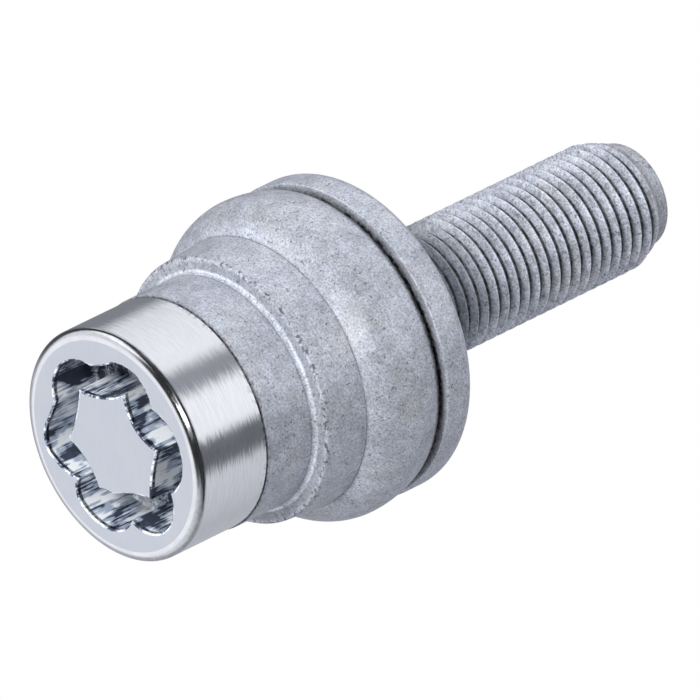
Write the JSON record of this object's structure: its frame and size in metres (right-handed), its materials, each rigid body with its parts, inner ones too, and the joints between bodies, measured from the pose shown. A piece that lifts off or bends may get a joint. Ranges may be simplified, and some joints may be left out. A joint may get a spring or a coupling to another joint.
{
  "type": "wheel bolt",
  "caption": "Locking wheel bolt: round chromed head with a wavy key groove round a star-shaped island, grey flanged body, loose flat seat ring and threaded shank.",
  "frame": {"origin": "centre of the head's end face, which the bolt stands on", "axes": "+Z along the bolt's axis, from the head towards the tip of the thread; -Y is the side that faces the picture's camera"},
  "size_m": [0.0296, 0.0296, 0.0631],
  "materials": {
    "coated_steel": "grey zinc-flake coat, satin, chromed at the head",
    "coated_steel_ring": "grey zinc-flake coat, satin"
  },
  "bodies": {
    "bolt": {"bolt": "coated_steel"},
    "seat_ring": {"seat_ring": "coated_steel_ring"}
  },
  "joints": [
    {"name": "ring_spin", "type": "hinge", "parent": "bolt", "child": "seat_ring", "pos_m": [0, 0, 0.0278], "axis": [0, 0, 1], "continuous": true}
  ]
}
